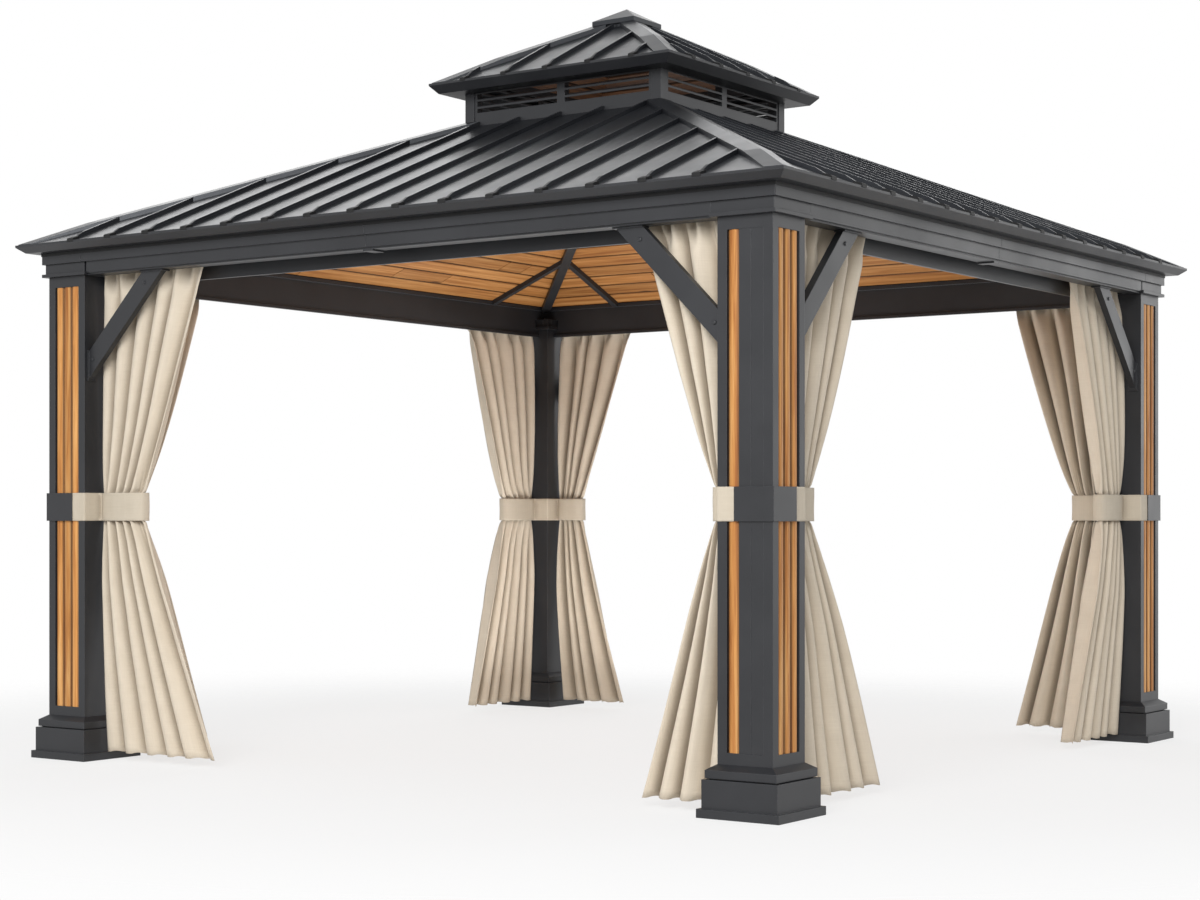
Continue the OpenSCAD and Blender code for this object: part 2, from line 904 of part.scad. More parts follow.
// plan of the band round the post and its two bundles, drawn out by a distance
function tie_outline(k, i) = let (
    far_a = post_size + curtain_start + curtains_a[k][1],
    far_b = post_size + curtain_start + curtains_b[k][1],
    s = post_size + i
) [
    [-i, -i], [s, -i], [s, tie_front - i], [far_a + i, tie_front - i],
    [far_a + i, tie_back + i], [s, tie_back + i], [s, s], [tie_back + i, s],
    [tie_back + i, far_b + i], [tie_front - i, far_b + i], [tie_front - i, s], [-i, s]
];

module curtain_ties() {
    color(cloth)
        for (k = [0 : 3])
            at_corner(k)
                translate([0, 0, tie_bottom])
                    linear_extrude(height = tie_height)
                        difference() {
                            polygon(tie_outline(k, slide_fit + tie_thickness));
                            polygon(tie_outline(k, slide_fit));
                        }
}

module tie_plates() {
    from = slide_fit + tie_thickness + slide_fit;
    color(metal)
        for (k = [0 : 3])
            at_corner(k)
                translate([-from - plate_thickness, -from - plate_thickness, tie_bottom])
                    difference() {
                        cube([plate_leg, plate_leg, tie_height]);
                        translate([plate_thickness, plate_thickness, -1])
                            cube([plate_leg, plate_leg, tie_height + 2]);
                    }
}

post(0);  // post_front_right
post(1);  // post_back_right
post(2);  // post_back_left
post(3);  // post_front_left
base(0);  // base_front_right
base(1);  // base_back_right
base(2);  // base_back_left
base(3);  // base_front_left
post_slats();
post_infill();
post_capitals();
knee_braces();
beam(0);  // beam_front
beam(1);  // beam_right
beam(2);  // beam_back
beam(3);  // beam_left
eave_trim();
roof_slope(0);  // roof_front
roof_slope(1);  // roof_right
roof_slope(2);  // roof_back
roof_slope(3);  // roof_left
hip_caps();
ceiling_slope(0);  // ceiling_front
ceiling_slope(1);  // ceiling_right
ceiling_slope(2);  // ceiling_back
ceiling_slope(3);  // ceiling_left
hip_rafters();
jack_rafters();
cupola_posts();
louvre(0);  // louvre_front
louvre(1);  // louvre_right
louvre(2);  // louvre_back
louvre(3);  // louvre_left
upper_roof();
upper_hip_caps();
upper_eave_trim();
upper_ceiling();
finial_cap();
curtain_rails();
curtains(0);  // curtains_front_right
curtains(1);  // curtains_back_right
curtains(2);  // curtains_back_left
curtains(3);  // curtains_front_left
curtain_ties();
tie_plates();
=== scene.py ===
"""Looks of a square garden gazebo: finishes on its solids, pleated curtains, tie bands,
ceiling boards and small hardware. Metres, +Z up, front face towards -Y."""

import math

import bpy
import numpy as np
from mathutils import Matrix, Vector


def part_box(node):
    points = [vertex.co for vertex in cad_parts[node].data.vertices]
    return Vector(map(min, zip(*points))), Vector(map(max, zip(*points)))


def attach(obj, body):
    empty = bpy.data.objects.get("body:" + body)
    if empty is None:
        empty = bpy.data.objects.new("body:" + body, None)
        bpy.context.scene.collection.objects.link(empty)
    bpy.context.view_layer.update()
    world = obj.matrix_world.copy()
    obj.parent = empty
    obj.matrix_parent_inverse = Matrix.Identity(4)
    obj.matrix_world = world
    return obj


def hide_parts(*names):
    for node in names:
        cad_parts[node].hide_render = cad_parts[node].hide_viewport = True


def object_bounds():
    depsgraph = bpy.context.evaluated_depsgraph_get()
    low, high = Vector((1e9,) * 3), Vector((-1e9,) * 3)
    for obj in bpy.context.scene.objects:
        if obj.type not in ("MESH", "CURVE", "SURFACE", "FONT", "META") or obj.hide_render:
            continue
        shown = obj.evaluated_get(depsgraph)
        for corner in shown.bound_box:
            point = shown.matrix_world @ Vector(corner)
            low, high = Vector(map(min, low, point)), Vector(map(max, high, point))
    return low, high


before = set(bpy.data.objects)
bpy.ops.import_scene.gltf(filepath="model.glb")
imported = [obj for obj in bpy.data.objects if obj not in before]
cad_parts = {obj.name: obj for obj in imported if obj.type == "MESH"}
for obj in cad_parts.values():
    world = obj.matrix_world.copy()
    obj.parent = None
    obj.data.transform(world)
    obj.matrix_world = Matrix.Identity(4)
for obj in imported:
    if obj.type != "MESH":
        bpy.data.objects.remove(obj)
cad_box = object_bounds()

# Names in the frame, where sides and corners go anticlockwise seen from above
BODY = "root"
SIDES = ("front", "right", "back", "left")
CORNERS = ("front_right", "back_right", "back_left", "front_left")

# Quarter turns that take the front side or the front right corner to the others
QUARTERS = range(4)

# Sizes read from the frame
POST_LOW, POST_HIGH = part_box("post_front_right")
POST_FACE = POST_HIGH.x
POST_SIZE = POST_HIGH.x - POST_LOW.x
POST_TOP = POST_HIGH.z
RAIL_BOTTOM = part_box("curtain_rails")[0].z
TIE_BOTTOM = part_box("curtain_ties")[0].z
TIE_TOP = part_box("curtain_ties")[1].z
CEILING_LOW, CEILING_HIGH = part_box("ceiling_front")
BEAM_INNER = -CEILING_LOW.y
CUPOLA = -CEILING_HIGH.y
EAVE_TIP = cad_box[1][0]
UPPER_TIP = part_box("upper_eave_trim")[1].x
UPPER_CEILING_LOW, UPPER_CEILING_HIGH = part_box("upper_ceiling")

# Sizes shared with the solids
ROOF_PITCH = math.radians(22.4)
UPPER_PITCH = math.radians(26.9)
EAVE_RISE = 0.132
EAVE_TOP = POST_TOP + EAVE_RISE
UPPER_EAVE_TOP = 2.852
FASCIA_OUT = 0.021
FASCIA_RISE = 0.103
FASCIA_TOP = POST_TOP + FASCIA_RISE
TRIM_LAP = 0.003
BOARD_THICKNESS = 0.012
UPPER_BOARD_THICKNESS = 0.010
HIP_CLEARANCE = 0.0233
RIB_PITCH = 0.214
RAIL_MIDDLE = 0.107
CURTAIN_START = 0.008
HEAD_SHIFT = 0.018
TIE_DEPTH = 0.074
HEM_HEIGHT = 0.034
FLANGE_OUT = 0.052
CAPITAL_OUT = (0.021, 0.010, 0.010, 0.010)
BRACE_REACH = 0.426
BRACE_WIDTH = 0.078
BRACE_SETBACK = 0.022
BRACE_THICKNESS = 0.028

# Each curtain's width at the rail, the tie and the hem, by corner: along the first side,
# then along the second
CURTAIN_WIDTHS = {
    "front_right": ((0.33, 0.06, 0.29), (0.59, 0.21, 0.60)),
    "back_right": ((0.54, 0.22, 0.52), (0.42, 0.14, 0.36)),
    "back_left": ((0.46, 0.15, 0.38), (0.57, 0.25, 0.48)),
    "front_left": ((0.54, 0.22, 0.50), (0.58, 0.24, 0.61)),
}

# Cut of the curtains, and how fine their mesh is
CLOTH_FULLNESS = 1.7
CLOTH_THICKNESS = 0.0016
FOLDS_PER_METRE = 8.5
FEWEST_FOLDS = 3
FOLD_COLUMNS = 24
LOOSE_ROWS = 40
TIE_ROWS = 7
CURTAIN_SEED = 100

# Limits to the depth of folds: in the tie, just off it, what the hem and the swag add, the least
PRESSED_DEPTH = 0.034
LOOSE_DEPTH = 0.036
HEM_DEPTH = 0.042
SWAG_DEPTH = 0.007
SWAG_RATE = 1.15
LEAST_DEPTH = 0.010
DEPTH_HALVINGS = 12

# Width of a bundle inside the band, as a share of its width beside it
PRESSED_WIDTH = 0.97

# How far the pull of the tie and the pleats under the rail reach up or down
TIE_PULL = 0.10
PLEAT_DROP = 0.15

# Powers of the distance from the tie, by which the cloth spreads, moves over and deepens and
# its rows are spaced
SPREAD_POWER = 0.90
SHIFT_POWER = 1.6
HEM_POWER = 0.8
LOW_ROWS_POWER = 1.25
HIGH_ROWS_POWER = 1.2

# How square a bundle of cloth is in plan, where 2 would be an ellipse
BUNDLE_POWER = 3

# Tie bands
BAND_OFFSET = 0.0018
BAND_TUCK = 0.004
BAND_CORNER = 0.007
BAND_THICKNESS = 0.0028
BAND_ROWS = 17
SWELL_DEPTH = 0.0009
SWELL_RATE = 31
SWELL_SLANT = 4
SINK_DEPTH = 0.014
SINK_LEAN = 0.25
SINK_REACH = 0.006
SINK_MARGIN = 0.006
SINK_RAMP = 0.014
LOOP_TURN = 150
LOOP_POINTS = 41

# Rounding of a band's corners: its most along a run, and its steps where it isn't very short
CORNER_SHARE = 0.45
CORNER_STEPS = 12
SHORT_CORNER = 0.004

# Ceiling boards
BOARD_GAP = 0.0022
BOARD_BEVEL = 0.0060
BOARD_ROWS = 12
UPPER_BOARD_ROWS = 6
UPPER_PEAK = 0.02
UPPER_CLEARANCE = 0.0005
JOINTED_SPAN = 0.7
JOINT_SHARE = 0.8
GRAIN_SPREAD = 40
BOARD_SEED = 40
UPPER_BOARD_SEED = 47

# Small hardware, where a round head's size is its radius and height
CLIP_WIDTH = 0.034
UPPER_CLIP_WIDTH = 0.026
CLIP_REACH = 0.034
CLIP_LIP = 0.002
CLIP_DROP = 0.007
CLIP_SINK = 0.001
CLIP_SHOULDER = (0.006, 0.005)
CLIP_HEIGHT = 0.010
CLIP_BACK = 0.009
EAVE_FLAT = 0.009
CLIPS_BESIDE = 7
UPPER_CLIPS_BESIDE = 2
# Size of the dark strip under the eave that stands for its shadow
SHADOW_STRIP_HEIGHT = 0.013
SHADOW_STRIP_THICKNESS = 0.0025
BOLT_FOOT = 0.025
BOLT_HEAD = 0.048
BOLT_SIZE = (0.008, 0.005)
BOLT_SIDES = 14
SCREW_ALONG = 0.190
SCREW_RISES = (0.021, 0.033, 0.045)
SCREW_SIZE = (0.004, 0.003)
SCREW_SIDES = 10

# Camera, fitted to the photo
CAMERA_PLACE = (5.422, -8.110, 0.992)
CAMERA_TURN = 35.483
CAMERA_LENS = 67.37
SENSOR_WIDTH = 36.0
CAMERA_SHIFT = (0.0338, 0.0572)

# World, with the sines of the elevations between which its mirrored sky turns grey
WORLD_FILL = 0.48
SKY_OVERHEAD = 0.50
SKY_BAND = (0.42, 0.58)

# Floor, with the distances between which it fades out
FLOOR_REACH = 6.0
FLOOR_FADE = (2.6, 5.6)
FLOOR_TONE = (0.86, 0.86, 0.86, 1.0)
FLOOR_LIFT = 0.72
WHITE = (1.0, 1.0, 1.0, 1.0)


def linear(red, green, blue):
    """A colour given as it shows on screen, 0 to 255, as the shader wants it."""
    def channel(value):
        share = value / 255
        return share / 12.92 if share <= 0.04045 else ((share + 0.055) / 1.055) ** 2.4
    return (channel(red), channel(green), channel(blue), 1.0)


# Tones, dark to pale
ROOF_TONES = (linear(27, 28, 31), linear(36, 38, 42))
SLAT_TONES = (linear(168, 103, 50), linear(219, 154, 86), linear(240, 185, 118))
BOARD_TONES = (linear(152, 96, 48), linear(190, 132, 74), linear(212, 157, 98))
# Painted shade: the boards inside the upper roof are the ceiling timber darkened as if in shade
UPPER_BOARD_SHADE_TONES = (linear(58, 34, 18), linear(80, 50, 26), linear(98, 64, 36))
KNOT_TONE = linear(84, 48, 24)
# Painted shade for the grooves between boards and the flanks of slats
GROOVE_SHADE_TONE = linear(38, 22, 12)
# Painted shade for the cloth's creases
CREASE_SHADE_TONE = linear(130, 114, 93)

# Fineness of the cloth's threads, slubs and stitches, and how far the painted shade in its creases
# reaches
THREAD_RATE = 140.0
SLUB_RATES = {"X": (420.0, 9.0, 1.0), "Y": (9.0, 420.0, 1.0)}
STITCH_RATE = 900.0
CREASE_SHADE_REACH = 0.045


# Node trees


class Nodes:
    """A node tree, with short ways to add and join its nodes."""

    # Places of the colours among the sockets of a Mix node
    FIRST_COLOUR, SECOND_COLOUR, MIXED_COLOUR = 6, 7, 2

    def __init__(self, tree):
        self.tree = tree

    def node(self, kind, inputs=None, **settings):
        """A new node with its settings, and its inputs fed by name or by place."""
        made = self.tree.nodes.new("ShaderNode" + kind)
        for key, value in settings.items():
            setattr(made, key, value)
        for key, value in (inputs or {}).items():
            self.feed(made.inputs[key], value)
        return made

    def feed(self, socket, value):
        """A socket linked to another node's output, or set to a plain value."""
        if isinstance(value, bpy.types.NodeSocket):
            self.tree.links.new(value, socket)
        else:
            socket.default_value = value

    def math(self, operation, first, second=0.0):
        return self.node("Math", {0: first, 1: second}, operation=operation).outputs["Value"]

    def spread(self, value, old, new=(0.0, 1.0), **settings):
        """A value stretched from its old range to a new one, and held inside it."""
        values = {"Value": value, "From Min": old[0], "From Max": old[1]}
        values.update({"To Min": new[0], "To Max": new[1]})
        return self.node("MapRange", values, clamp=True, **settings).outputs["Result"]

    def mix(self, factor, first, second):
        """Two colours mixed by a factor."""
        values = {0: factor, self.FIRST_COLOUR: first, self.SECOND_COLOUR: second}
        return self.node("Mix", values, data_type="RGBA").outputs[self.MIXED_COLOUR]

    def mix_shaders(self, factor, first, second):
        return self.node("MixShader", {0: factor, 1: first, 2: second}).outputs["Shader"]

    def ray_kinds(self):
        """1 for rays straight from the camera, and 1 for mirrored or refracted rays, else 0."""
        path = self.node("LightPath").outputs
        mirrored = self.math("MAXIMUM", path["Is Glossy Ray"], path["Is Transmission Ray"])
        return path["Is Camera Ray"], mirrored


class Finish(Nodes):
    """A material's node tree, with short ways to texture its surface."""

    def __init__(self, name):
        self.material = bpy.data.materials.new(name)
        self.material.use_nodes = True
        super().__init__(self.material.node_tree)
        self.surface = self.tree.nodes["Principled BSDF"]

    def set(self, **values):
        """Inputs of the surface by name, with _ for a space."""
        for key, value in values.items():
            self.feed(self.surface.inputs[key.replace("_", " ")], value)

    def place(self):
        return self.node("TexCoord").outputs["Object"]

    def stretched(self, source, scale):
        return self.node("Mapping", {"Vector": source, "Scale": scale}).outputs["Vector"]

    def noise(self, source, scale, detail, roughness=0.5, distortion=0.0):
        values = {"Vector": source, "Scale": scale, "Detail": detail}
        values.update({"Roughness": roughness, "Distortion": distortion})
        return self.node("TexNoise", values).outputs["Fac"]

    def ramp(self, factor, stops):
        """Colours along a factor, from pairs of a position and a colour."""
        made = self.node("ValToRGB", {"Fac": factor})
        line = made.color_ramp.elements
        while len(line) < len(stops):
            line.new(1.0)
        for element, (position, colour) in zip(line, stops):
            element.position = position
            element.color = colour
        return made.outputs["Color"]

    def bump(self, height, strength, distance, normal=None):
        values = {"Height": height, "Strength": strength, "Distance": distance}
        if normal is not None:
            values["Normal"] = normal
        return self.node("Bump", values).outputs["Normal"]

    def edges(self, radius):
        """Rounded normals, and how near a point is to an edge, from 0 to 1."""
        rounded = self.node("Bevel", {"Radius": radius}, samples=4).outputs["Normal"]
        straight = self.node("NewGeometry").outputs["Normal"]
        both = self.node("VectorMath", {0: rounded, 1: straight}, operation="DOT_PRODUCT")
        return rounded, self.spread(both.outputs["Value"], (0.99, 0.80))


# Materials


def powder_coat(name, tone, worn, edge_highlight_tone, roughness):
    """Fine-grained powder coat on steel, cloudy in tone and gloss, with a painted highlight along
    its edges.
    """
    finish = Finish(name)
    place = finish.place()
    rounded, edge = finish.edges(radius=0.003)
    cloud = finish.noise(place, scale=2.3, detail=4.0, roughness=0.6)
    grain = finish.noise(place, scale=700.0, detail=2.0)
    fleck = finish.noise(place, scale=160.0, detail=3.0)
    colour = finish.mix(finish.spread(cloud, (0.35, 0.65)), tone, worn)
    # Painted highlight: edges are lightened toward a paler tone, broken up by flecks
    edge_highlight = finish.math("MULTIPLY", edge, finish.spread(fleck, (0.3, 0.7), (0.15, 0.75)))
    flecks = finish.bump(fleck, strength=0.05, distance=0.001, normal=rounded)
    finish.set(
        Base_Color=finish.mix(edge_highlight, colour, edge_highlight_tone),
        Roughness=finish.spread(cloud, (0.3, 0.7), (roughness - 0.05, roughness + 0.07)),
        Normal=finish.bump(grain, strength=0.08, distance=0.0004, normal=flecks),
        Specular_IOR_Level=0.4,
    )
    return finish.material


def roof_sheet():
    """Satin painted steel, cloudy in tone and gloss."""
    finish = Finish("roof_sheet")
    cloud = finish.noise(finish.place(), scale=5.0, detail=5.0, roughness=0.65)
    finish.set(
        Base_Color=finish.mix(finish.spread(cloud, (0.3, 0.7)), *ROOF_TONES),
        Roughness=finish.spread(cloud, (0.3, 0.7), (0.30, 0.37)),
        Specular_IOR_Level=0.5,
        Specular_Tint=(0.90, 0.94, 1.0, 1.0),
    )
    return finish.material


def timber(finish, along, across, tint, tones, edge):
    """Wood with streaks that run the way of its first coordinate, knots, and painted shade along its
    edges.

    A tint from 0 to 1 gives each board or slat a tone and a stretch of grain of its own.
    """
    grain_shift = finish.math("MULTIPLY", tint, 37.0)
    joined = finish.node("CombineXYZ", {"X": along, "Y": across, "Z": grain_shift})
    line = joined.outputs["Vector"]
    broad_place = finish.stretched(line, (0.9, 22.0, 1.0))
    broad = finish.noise(broad_place, scale=1.6, detail=4.0, roughness=0.6, distortion=0.6)
    fine_place = finish.stretched(line, (6.0, 260.0, 1.0))
    fine = finish.noise(fine_place, scale=1.0, detail=3.0, roughness=0.55)
    knot_place = finish.stretched(line, (3.1, 11.0, 1.0))
    cell = finish.node("TexVoronoi", {"Vector": knot_place, "Scale": 1.0})
    chance = finish.node("SeparateColor", {"Color": cell.outputs["Color"]}).outputs["Red"]
    rare = finish.spread(chance, (0.86, 0.87))
    knot = finish.math("MULTIPLY", finish.spread(cell.outputs["Distance"], (0.16, 0.05)), rare)
    colour = finish.ramp(broad, list(zip((0.34, 0.5, 0.66), tones)))
    colour = finish.mix(finish.spread(fine, (0.38, 0.72), (0.0, 0.5)), colour, tones[0])
    colour = finish.mix(finish.math("MULTIPLY", knot, 0.8), colour, KNOT_TONE)
    shade = finish.spread(tint, (0.0, 1.0), (0.82, 1.12))
    shaded = finish.node("HueSaturation", {"Color": colour, "Value": shade}).outputs["Color"]
    # Painted shade: the wood darkens towards its edges, where shade falls in the grooves
    groove_shade = finish.spread(edge, (0.1, 0.7), (0.0, 0.9))
    height = finish.math("ADD", fine, finish.math("MULTIPLY", broad, 0.5))
    finish.set(
        Base_Color=finish.mix(groove_shade, shaded, GROOVE_SHADE_TONE),
        Roughness=finish.spread(fine, (0.3, 0.7), (0.44, 0.60)),
        Normal=finish.bump(height, strength=0.25, distance=0.0012),
        Specular_IOR_Level=0.28,
    )
    return finish.material


def slat_timber():
    """Grain that runs up each slat, in a tone of the slat's own, with painted shade on its rounded
    flanks.
    """
    finish = Finish("slat_timber")
    split = finish.node("SeparateXYZ", {"Vector": finish.place()}).outputs
    tint = finish.node("NewGeometry").outputs["Random Per Island"]
    flat = finish.math("ADD", split["X"], split["Y"])
    # Painted shade: the slat darkens where its rounded front turns away from the face
    facing = finish.node("NewGeometry").outputs["True Normal"]
    way = finish.node("SeparateXYZ", {"Vector": facing}).outputs
    straight = finish.math("MAXIMUM", *(finish.math("ABSOLUTE", way[axis]) for axis in "XY"))
    flank_shade = finish.spread(straight, (0.975, 0.84), (0.0, 0.7))
    return timber(finish, split["Z"], flat, tint, SLAT_TONES, flank_shade)


def board_timber(name, tones):
    """Grain that runs along each ceiling board, placed by the board's own coordinates."""
    finish = Finish(name)
    place = finish.node("UVMap", uv_map="boards").outputs["UV"]
    split = finish.node("SeparateXYZ", {"Vector": place}).outputs
    tint = finish.node("Attribute", attribute_name="tone").outputs["Fac"]
    # The edge attribute marks the bevels, where painted shade darkens the grooves between boards
    edge = finish.node("Attribute", attribute_name="edge").outputs["Fac"]
    return timber(finish, split["X"], split["Y"], tint, tones, edge)


def stitching(finish, split, hem_at):
    """The dent of a sewn hem at a height, and the stitches along it."""
    from_hem = finish.math("ABSOLUTE", finish.math("SUBTRACT", split["Y"], hem_at))
    seam = finish.spread(from_hem, (0.0035, 0.001))
    ticks = finish.math("SINE", finish.math("MULTIPLY", split["X"], STITCH_RATE))
    stitch = finish.math("MULTIPLY", seam, finish.math("GREATER_THAN", ticks, -0.3))
    return seam, stitch


def cloth(name, pale, deep, hem_at):
    """Plain woven cloth with slubs and a stitched hem, with painted shade darkening its creases."""
    finish = Finish(name)
    woven = finish.node("UVMap", uv_map="cloth").outputs["UV"]
    split = finish.node("SeparateXYZ", {"Vector": woven}).outputs
    threads = []
    slubs = []
    for axis, rates in SLUB_RATES.items():
        values = {"Vector": woven, "Scale": THREAD_RATE}
        threads.append(finish.node("TexWave", values, bands_direction=axis).outputs["Fac"])
        slub_place = finish.stretched(woven, rates)
        slubs.append(finish.noise(slub_place, scale=1.0, detail=3.0, roughness=0.6))
    weave = finish.math("MAXIMUM", *threads)
    streak = finish.math("MULTIPLY", finish.math("ADD", *slubs), 0.5)
    mottle = finish.noise(woven, scale=7.0, detail=4.0, roughness=0.6)
    streak_tone = finish.math("MULTIPLY", streak, 0.6)
    mottle_tone = finish.math("MULTIPLY", mottle, 0.4)
    tone = finish.math("ADD", streak_tone, mottle_tone)
    colour = finish.mix(finish.spread(tone, (0.36, 0.64)), deep, pale)
    seam, stitch = stitching(finish, split, hem_at)
    colour = finish.mix(finish.math("MULTIPLY", stitch, 0.35), colour, deep)
    reach = {"Distance": CREASE_SHADE_REACH}
    # Painted shade: ambient occlusion darkens the cloth in its creases
    hollow = finish.node("AmbientOcclusion", reach, samples=6, only_local=True).outputs["AO"]
    crease_shade = finish.spread(hollow, (0.80, 0.30), (0.0, 0.58))
    raised = finish.math("ADD", weave, streak)
    raised = finish.math("SUBTRACT", raised, finish.math("MULTIPLY", seam, 1.5))
    wrinkle = finish.bump(mottle, strength=0.18, distance=0.006)
    finish.set(
        Base_Color=finish.mix(crease_shade, colour, CREASE_SHADE_TONE),
        Roughness=0.88,
        Normal=finish.bump(raised, strength=0.3, distance=0.0006, normal=wrinkle),
        Sheen_Weight=0.12,
        Sheen_Roughness=0.5,
        Specular_IOR_Level=0.2,
    )
    return finish.material


CHARCOAL = powder_coat(
    "charcoal_metal", tone=linear(41, 42, 45), worn=linear(49, 50, 53),
    edge_highlight_tone=linear(96, 98, 102), roughness=0.42,
)
# Dark fittings, also used for the strip that stands for the painted shadow under the eave
DARK_METAL_AND_SHADE = powder_coat(
    "dark_fittings_and_shade", tone=linear(12, 12, 13), worn=linear(18, 18, 19),
    edge_highlight_tone=linear(28, 28, 30), roughness=0.6,
)
ROOF_SHEET = roof_sheet()
SLAT_TIMBER = slat_timber()
BOARD_TIMBER = board_timber("board_timber", BOARD_TONES)
# Darker copy of the board timber, painted shade for the boards inside the upper roof
SHADED_UPPER_BOARD_TIMBER = board_timber("shaded_upper_board_timber", UPPER_BOARD_SHADE_TONES)
CURTAIN_CLOTH = cloth(
    "curtain_cloth", pale=linear(234, 222, 203), deep=linear(219, 206, 186), hem_at=0.035,
)
TIE_CLOTH = cloth(
    "tie_cloth", pale=linear(218, 207, 189), deep=linear(203, 191, 171), hem_at=0.009,
)


# Mesh helpers


def add_piece(name, points, faces, material, smooth=True):
    """A new mesh on the object's only body, with its finish."""
    mesh = bpy.data.meshes.new(name)
    mesh.from_pydata([tuple(point) for point in points], [], faces)
    mesh.update()
    for polygon in mesh.polygons:
        polygon.use_smooth = smooth
    mesh.materials.append(material)
    piece = bpy.data.objects.new(name, mesh)
    bpy.context.scene.collection.objects.link(piece)
    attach(piece, BODY)
    return piece


def add_uv(piece, name, values):
    """A UV map from one pair of values for each vertex."""
    layer = piece.data.uv_layers.new(name=name)
    order = np.zeros(len(piece.data.loops), np.int32)
    piece.data.loops.foreach_get("vertex_index", order)
    layer.data.foreach_set("uv", np.asarray(values, np.float32)[order].ravel())


def thicken(piece, thickness):
    """A sheet made as thick as its cloth, half to each side."""
    thick = piece.modifiers.new("thickness", "SOLIDIFY")
    thick.thickness = thickness
    thick.offset = 0.0


def grid_faces(rows, columns, closed=False):
    """Quads over a grid of points, with the last column joined to the first when closed."""
    last = columns if closed else columns - 1
    faces = []
    for row in range(rows - 1):
        for column in range(last):
            side = (column + 1) % columns
            low, high = row * columns, (row + 1) * columns
            faces.append((low + column, low + side, high + side, high + column))
    return faces


def turned(quarter, x, y):
    """A point of the front side or the front right corner, turned to another side or corner."""
    for _ in range(quarter):
        x, y = -y, x
    return x, y


def spin(quarter, vector):
    """A vector of the front side, turned to another side."""
    x, y = turned(quarter, vector[0], vector[1])
    return Vector((x, y, vector[2]))


def corner_point(corner, side, along, across):
    """A plan point from its distances along and square to a corner's first or second side."""
    if side == 0:
        return turned(corner, POST_FACE - along, across - POST_FACE)
    return turned(corner, POST_FACE - across, along - POST_FACE)


def ease(value):
    """A smooth step from 0 to 1."""
    held = np.clip(value, 0.0, 1.0)
    return held * held * (3 - 2 * held)


class Gathered:
    """Many small shapes gathered in one mesh."""

    # Radius and height of each ring of a round head, as shares of its own
    DOME_RINGS = ((1.0, 0.0), (1.0, 0.35), (0.82, 0.75), (0.45, 0.97))

    def __init__(self):
        self.points = []
        self.faces = []

    def add(self, points, faces):
        first = len(self.points)
        self.points += [tuple(point) for point in points]
        self.faces += [tuple(first + index for index in face) for face in faces]

    def add_prism(self, start, end):
        """A solid between two like outlines."""
        count = len(start)
        faces = [(i, (i + 1) % count, count + (i + 1) % count, count + i) for i in range(count)]
        faces += [tuple(reversed(range(count))), tuple(range(count, 2 * count))]
        self.add([*start, *end], faces)

    def add_bar(self, outline, reach):
        """A solid that reaches the same way to both sides of an outline."""
        self.add_prism([point - reach for point in outline], [point + reach for point in outline])

    def add_dome(self, centre, axis, size, sides):
        """A low round head that stands on a face."""
        radius, height = size
        axis = axis.normalized()
        across = axis.orthogonal().normalized()
        other = axis.cross(across)
        points = []
        for reach, rise in self.DOME_RINGS:
            for step in range(sides):
                turn = 2 * math.pi * step / sides
                spoke = across * math.cos(turn) + other * math.sin(turn)
                points.append(centre + spoke * (radius * reach) + axis * (height * rise))
        faces = grid_faces(len(self.DOME_RINGS), sides, closed=True)
        faces.append(tuple(range(len(points) - sides, len(points))))
        faces.append(tuple(reversed(range(sides))))
        self.add(points, faces)

    def finish(self, name, material, slot):
        return add_piece(name, self.points, self.faces, material, smooth=False)


# Curtains


def curtain_heights():
    """Heights of the rows of cloth, closer together near the tie."""
    low_shares = np.linspace(1, 0, LOOSE_ROWS) ** LOW_ROWS_POWER
    low = TIE_BOTTOM - (TIE_BOTTOM - HEM_HEIGHT) * low_shares
    band = np.linspace(TIE_BOTTOM, TIE_TOP, TIE_ROWS)[1:-1]
    high_shares = np.linspace(0, 1, LOOSE_ROWS) ** HIGH_ROWS_POWER
    high = TIE_TOP + (RAIL_BOTTOM - TIE_TOP) * high_shares
    return np.concatenate([low, band, high])


def row_shape(height, widths):
    """Width, near edge, depth limit and closeness to the tie and to the rail at a height."""
    rail, tie, hem = widths
    near = POST_SIZE + CURTAIN_START
    if height < TIE_BOTTOM:
        gap = TIE_BOTTOM - height
        away = gap / (TIE_BOTTOM - HEM_HEIGHT)
        width = tie + (hem - tie) * away ** SPREAD_POWER
        near += FLANGE_OUT * away ** SHIFT_POWER
        limit = LOOSE_DEPTH + HEM_DEPTH * away ** HEM_POWER
    elif height > TIE_TOP:
        gap = height - TIE_TOP
        away = gap / (RAIL_BOTTOM - TIE_TOP)
        width = tie + (rail - tie) * away ** SPREAD_POWER
        near += HEAD_SHIFT * away ** SHIFT_POWER
        limit = LOOSE_DEPTH + SWAG_DEPTH * math.sin(math.pi * min(1.0, SWAG_RATE * away))
    else:
        width, limit, gap = tie * PRESSED_WIDTH, PRESSED_DEPTH, 0.0
    at_tie = math.exp(-gap / TIE_PULL)
    at_rail = float(ease(1 - (RAIL_BOTTOM - height) / PLEAT_DROP))
    return width, near, limit, at_tie, at_rail


def fold_depth(along, profile, limit, cut_width):
    """The depth at which a row of folds takes up the cut width, found by halving, to a limit."""
    low, high = LEAST_DEPTH, limit / max(1.0, float(np.abs(profile).max()))
    for _ in range(DEPTH_HALVINGS):
        middle = (low + high) / 2
        length = np.hypot(np.diff(along), np.diff(middle * profile)).sum()
        low, high = (middle, high) if length < cut_width else (low, middle)
    return middle


